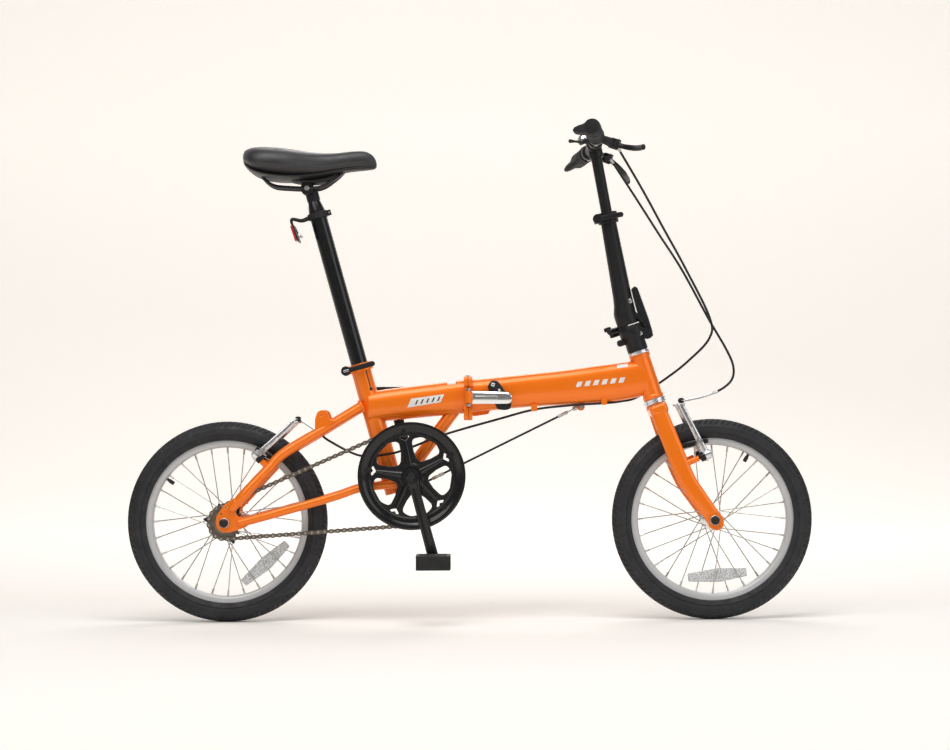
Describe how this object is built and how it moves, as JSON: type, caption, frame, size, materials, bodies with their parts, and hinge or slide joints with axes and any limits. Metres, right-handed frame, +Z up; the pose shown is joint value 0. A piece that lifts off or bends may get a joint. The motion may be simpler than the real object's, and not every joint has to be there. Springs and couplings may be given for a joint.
{
  "type": "folding bicycle",
  "caption": "Folding city bicycle with small wheels, a hinged main tube, folding handlepost, telescopic seatpost, chain drive and rim brakes.",
  "frame": {"origin": "on the ground in the bicycle's middle plane, half way between the wheels' contact points", "axes": "+X points to the front, +Y to the rider's left, +Z up"},
  "size_m": [1.3654, 0.5658, 0.9649],
  "materials": {
    "orange_paint": "gloss",
    "black_paint": "satin",
    "black_plastic": "matte",
    "grip_rubber": "matte",
    "saddle_vinyl": "satin vinyl",
    "tyre_rubber": "matte",
    "silver_metal": "polished",
    "steel": "zinc plated",
    "chain_steel": "oiled",
    "red_plastic": "moulded prisms",
    "clear_plastic": "moulded prisms"
  },
  "bodies": {
    "rear_frame": {"rear_frame": "orange_paint", "frame_hinge_pin": "silver_metal", "seat_clamp": "orange_paint", "rear_wheel_axle": "steel", "chain": "chain_steel"},
    "front_frame": {"front_frame": "orange_paint", "headset_upper": "silver_metal", "headset_lower": "silver_metal", "rear_brake_cable": "black_plastic", "tension_cable": "black_plastic"},
    "frame_latch_lever": {"frame_latch_lever": "silver_metal"},
    "frame_latch_catch": {"frame_latch_catch": "black_plastic"},
    "fork": {"fork": "orange_paint", "handlepost_base": "black_paint", "handlepost_hinge_pin": "silver_metal", "front_wheel_axle": "steel", "front_brake_cable": "black_plastic"},
    "front_wheel": {"front_wheel_hub": "silver_metal", "front_wheel_rim": "silver_metal", "front_wheel_tyre": "tyre_rubber", "front_wheel_reflector": "clear_plastic"},
    "rear_wheel": {"rear_wheel_hub": "silver_metal", "rear_wheel_rim": "silver_metal", "rear_wheel_tyre": "tyre_rubber", "rear_wheel_reflector": "clear_plastic"},
    "handlepost": {"handlepost": "black_paint", "handlepost_collar": "black_paint"},
    "handlepost_latch_lever": {"handlepost_latch_lever": "black_paint"},
    "handlepost_clamp_lever": {"handlepost_clamp_lever": "black_paint"},
    "handlebar": {"handlebar": "black_paint", "bell": "silver_metal", "grip_left": "grip_rubber", "grip_right": "grip_rubber", "brake_perch_left": "black_plastic", "brake_perch_right": "black_plastic"},
    "bell_striker": {"bell_striker": "black_plastic"},
    "brake_lever_left": {"brake_lever_left": "black_paint"},
    "brake_lever_right": {"brake_lever_right": "black_paint"},
    "front_brake_arm_left": {"front_brake_arm_left": "silver_metal"},
    "front_brake_arm_right": {"front_brake_arm_right": "silver_metal"},
    "rear_brake_arm_left": {"rear_brake_arm_left": "silver_metal"},
    "rear_brake_arm_right": {"rear_brake_arm_right": "silver_metal"},
    "seatpost": {"seatpost": "black_paint", "saddle_clamp": "black_paint", "saddle": "saddle_vinyl", "rear_reflector": "red_plastic"},
    "seat_clamp_lever": {"seat_clamp_lever": "black_paint"},
    "crankset": {"crank_axle": "steel", "crank_left": "black_paint", "crank_right": "black_paint", "chainring": "black_paint"},
    "sprocket": {"sprocket": "steel"},
    "pedal_block_left": {"pedal_block_left": "steel"},
    "pedal_block_right": {"pedal_block_right": "steel"},
    "pedal_left": {"pedal_left": "black_plastic"},
    "pedal_right": {"pedal_right": "black_plastic"}
  },
  "joints": [
    {"name": "frame_fold", "type": "hinge", "parent": "rear_frame", "child": "front_frame", "pos_m": [-0.002, 0.045, 0.4425], "axis": [0, 0, 1], "range_deg": [0, 124], "deforming": ["rear_brake_cable", "tension_cable"]},
    {"name": "frame_latch_open", "type": "hinge", "parent": "front_frame", "child": "frame_latch_lever", "pos_m": [-0.001, -0.041, 0.442], "axis": [0, 0, -1], "range_deg": [0, 110]},
    {"name": "frame_latch_catch_turn", "type": "hinge", "parent": "frame_latch_lever", "child": "frame_latch_catch", "pos_m": [0.044, -0.0315, 0.462], "axis": [0, 1, 0], "range_deg": [0, 30]},
    {"name": "steering", "type": "hinge", "parent": "front_frame", "child": "fork", "pos_m": [0.3405, 0, 0.5291], "axis": [-0.3074, 0, 0.9516], "range_deg": [-75, 75], "deforming": ["rear_brake_cable", "front_brake_cable"]},
    {"name": "front_wheel_spin", "type": "hinge", "parent": "fork", "child": "front_wheel", "pos_m": [0.4832, 0, 0.1995], "axis": [0, 1, 0], "continuous": true},
    {"name": "rear_wheel_spin", "type": "hinge", "parent": "rear_frame", "child": "rear_wheel", "pos_m": [-0.4832, 0, 0.1995], "axis": [0, 1, 0], "continuous": true},
    {"name": "handlepost_fold", "type": "hinge", "parent": "fork", "child": "handlepost", "pos_m": [0.29945, 0.02192, 0.57931], "axis": [-0.6729, -0.7071, -0.2173], "range_deg": [0, 158], "deforming": ["rear_brake_cable", "front_brake_cable"]},
    {"name": "handlepost_latch_open", "type": "hinge", "parent": "fork", "child": "handlepost_latch_lever", "pos_m": [0.361, 0, 0.568], "axis": [0, 1, 0], "range_deg": [0, 85]},
    {"name": "handlepost_clamp_open", "type": "hinge", "parent": "handlepost", "child": "handlepost_clamp_lever", "pos_m": [0.2577, -0.027, 0.7981], "axis": [0.1771, 0, -0.9842], "range_deg": [0, 110]},
    {"name": "handlebar_height", "type": "slide", "parent": "handlepost", "child": "handlebar", "axis": [-0.1771, 0, 0.9842], "range_m": [-0.1, 0.04], "stiffness_N_per_m": 300, "springref_m": 0.027, "deforming": ["rear_brake_cable", "front_brake_cable"]},
    {"name": "bell_ring", "type": "hinge", "parent": "handlebar", "child": "bell_striker", "pos_m": [0.226, -0.078, 0.944], "axis": [0, 0, 1], "range_deg": [-15, 15]},
    {"name": "brake_lever_left_squeeze", "type": "hinge", "parent": "handlebar", "child": "brake_lever_left", "pos_m": [0.2895, 0.12, 0.9348], "axis": [0.436, 0, 0.9], "range_deg": [0, 20]},
    {"name": "brake_lever_right_squeeze", "type": "hinge", "parent": "handlebar", "child": "brake_lever_right", "pos_m": [0.2895, -0.12, 0.9348], "axis": [-0.436, 0, -0.9], "range_deg": [0, 20]},
    {"name": "front_brake_left_close", "type": "hinge", "parent": "fork", "child": "front_brake_arm_left", "pos_m": [0.4645, 0.048, 0.3262], "axis": [0.9214, 0, 0.3887], "range_deg": [0, 3]},
    {"name": "front_brake_right_close", "type": "hinge", "parent": "fork", "child": "front_brake_arm_right", "pos_m": [0.4645, -0.048, 0.3262], "axis": [-0.9214, 0, -0.3887], "range_deg": [0, 3]},
    {"name": "rear_brake_left_close", "type": "hinge", "parent": "rear_frame", "child": "rear_brake_arm_left", "pos_m": [-0.4162, 0.048, 0.3282], "axis": [-0.7071, 0, 0.7071], "range_deg": [0, 3]},
    {"name": "rear_brake_right_close", "type": "hinge", "parent": "rear_frame", "child": "rear_brake_arm_right", "pos_m": [-0.4162, -0.048, 0.3282], "axis": [0.7071, 0, -0.7071], "range_deg": [0, 3]},
    {"name": "seatpost_height", "type": "slide", "parent": "rear_frame", "child": "seatpost", "axis": [-0.2639, 0, 0.9646], "range_m": [-0.29, 0.1], "stiffness_N_per_m": 300, "springref_m": 0.0511},
    {"name": "seat_clamp_open", "type": "hinge", "parent": "rear_frame", "child": "seat_clamp_lever", "pos_m": [-0.24416, -0.032, 0.49786], "axis": [0.2639, 0, -0.9646], "range_deg": [0, 110]},
    {"name": "crank_spin", "type": "hinge", "parent": "rear_frame", "child": "crankset", "pos_m": [-0.1143, 0, 0.2896], "axis": [0, 1, 0], "continuous": true},
    {"name": "sprocket_spin", "type": "hinge", "parent": "rear_frame", "child": "sprocket", "pos_m": [-0.4832, -0.046, 0.1995], "axis": [0, 1, 0], "continuous": true},
    {"name": "pedal_left_spin", "type": "hinge", "parent": "crankset", "child": "pedal_block_left", "pos_m": [-0.15801, 0.069, 0.45388], "axis": [0, 1, 0], "continuous": true},
    {"name": "pedal_right_spin", "type": "hinge", "parent": "crankset", "child": "pedal_block_right", "pos_m": [-0.07059, -0.069, 0.12532], "axis": [0, 1, 0], "continuous": true},
    {"name": "pedal_left_fold", "type": "hinge", "parent": "pedal_block_left", "child": "pedal_left", "pos_m": [-0.15801, 0.0935, 0.43988], "axis": [-1, 0, 0], "range_deg": [0, 90]},
    {"name": "pedal_right_fold", "type": "hinge", "parent": "pedal_block_right", "child": "pedal_right", "pos_m": [-0.07059, -0.0935, 0.11132], "axis": [1, 0, 0], "range_deg": [0, 90]}
  ],
  "couplings": [
    {"joint": "front_brake_left_close", "follows": "brake_lever_left_squeeze", "ratio": 0.15},
    {"joint": "front_brake_right_close", "follows": "brake_lever_left_squeeze", "ratio": 0.15},
    {"joint": "rear_brake_left_close", "follows": "brake_lever_right_squeeze", "ratio": 0.15},
    {"joint": "rear_brake_right_close", "follows": "brake_lever_right_squeeze", "ratio": 0.15},
    {"joint": "sprocket_spin", "follows": "crank_spin", "ratio": 3}
  ]
}
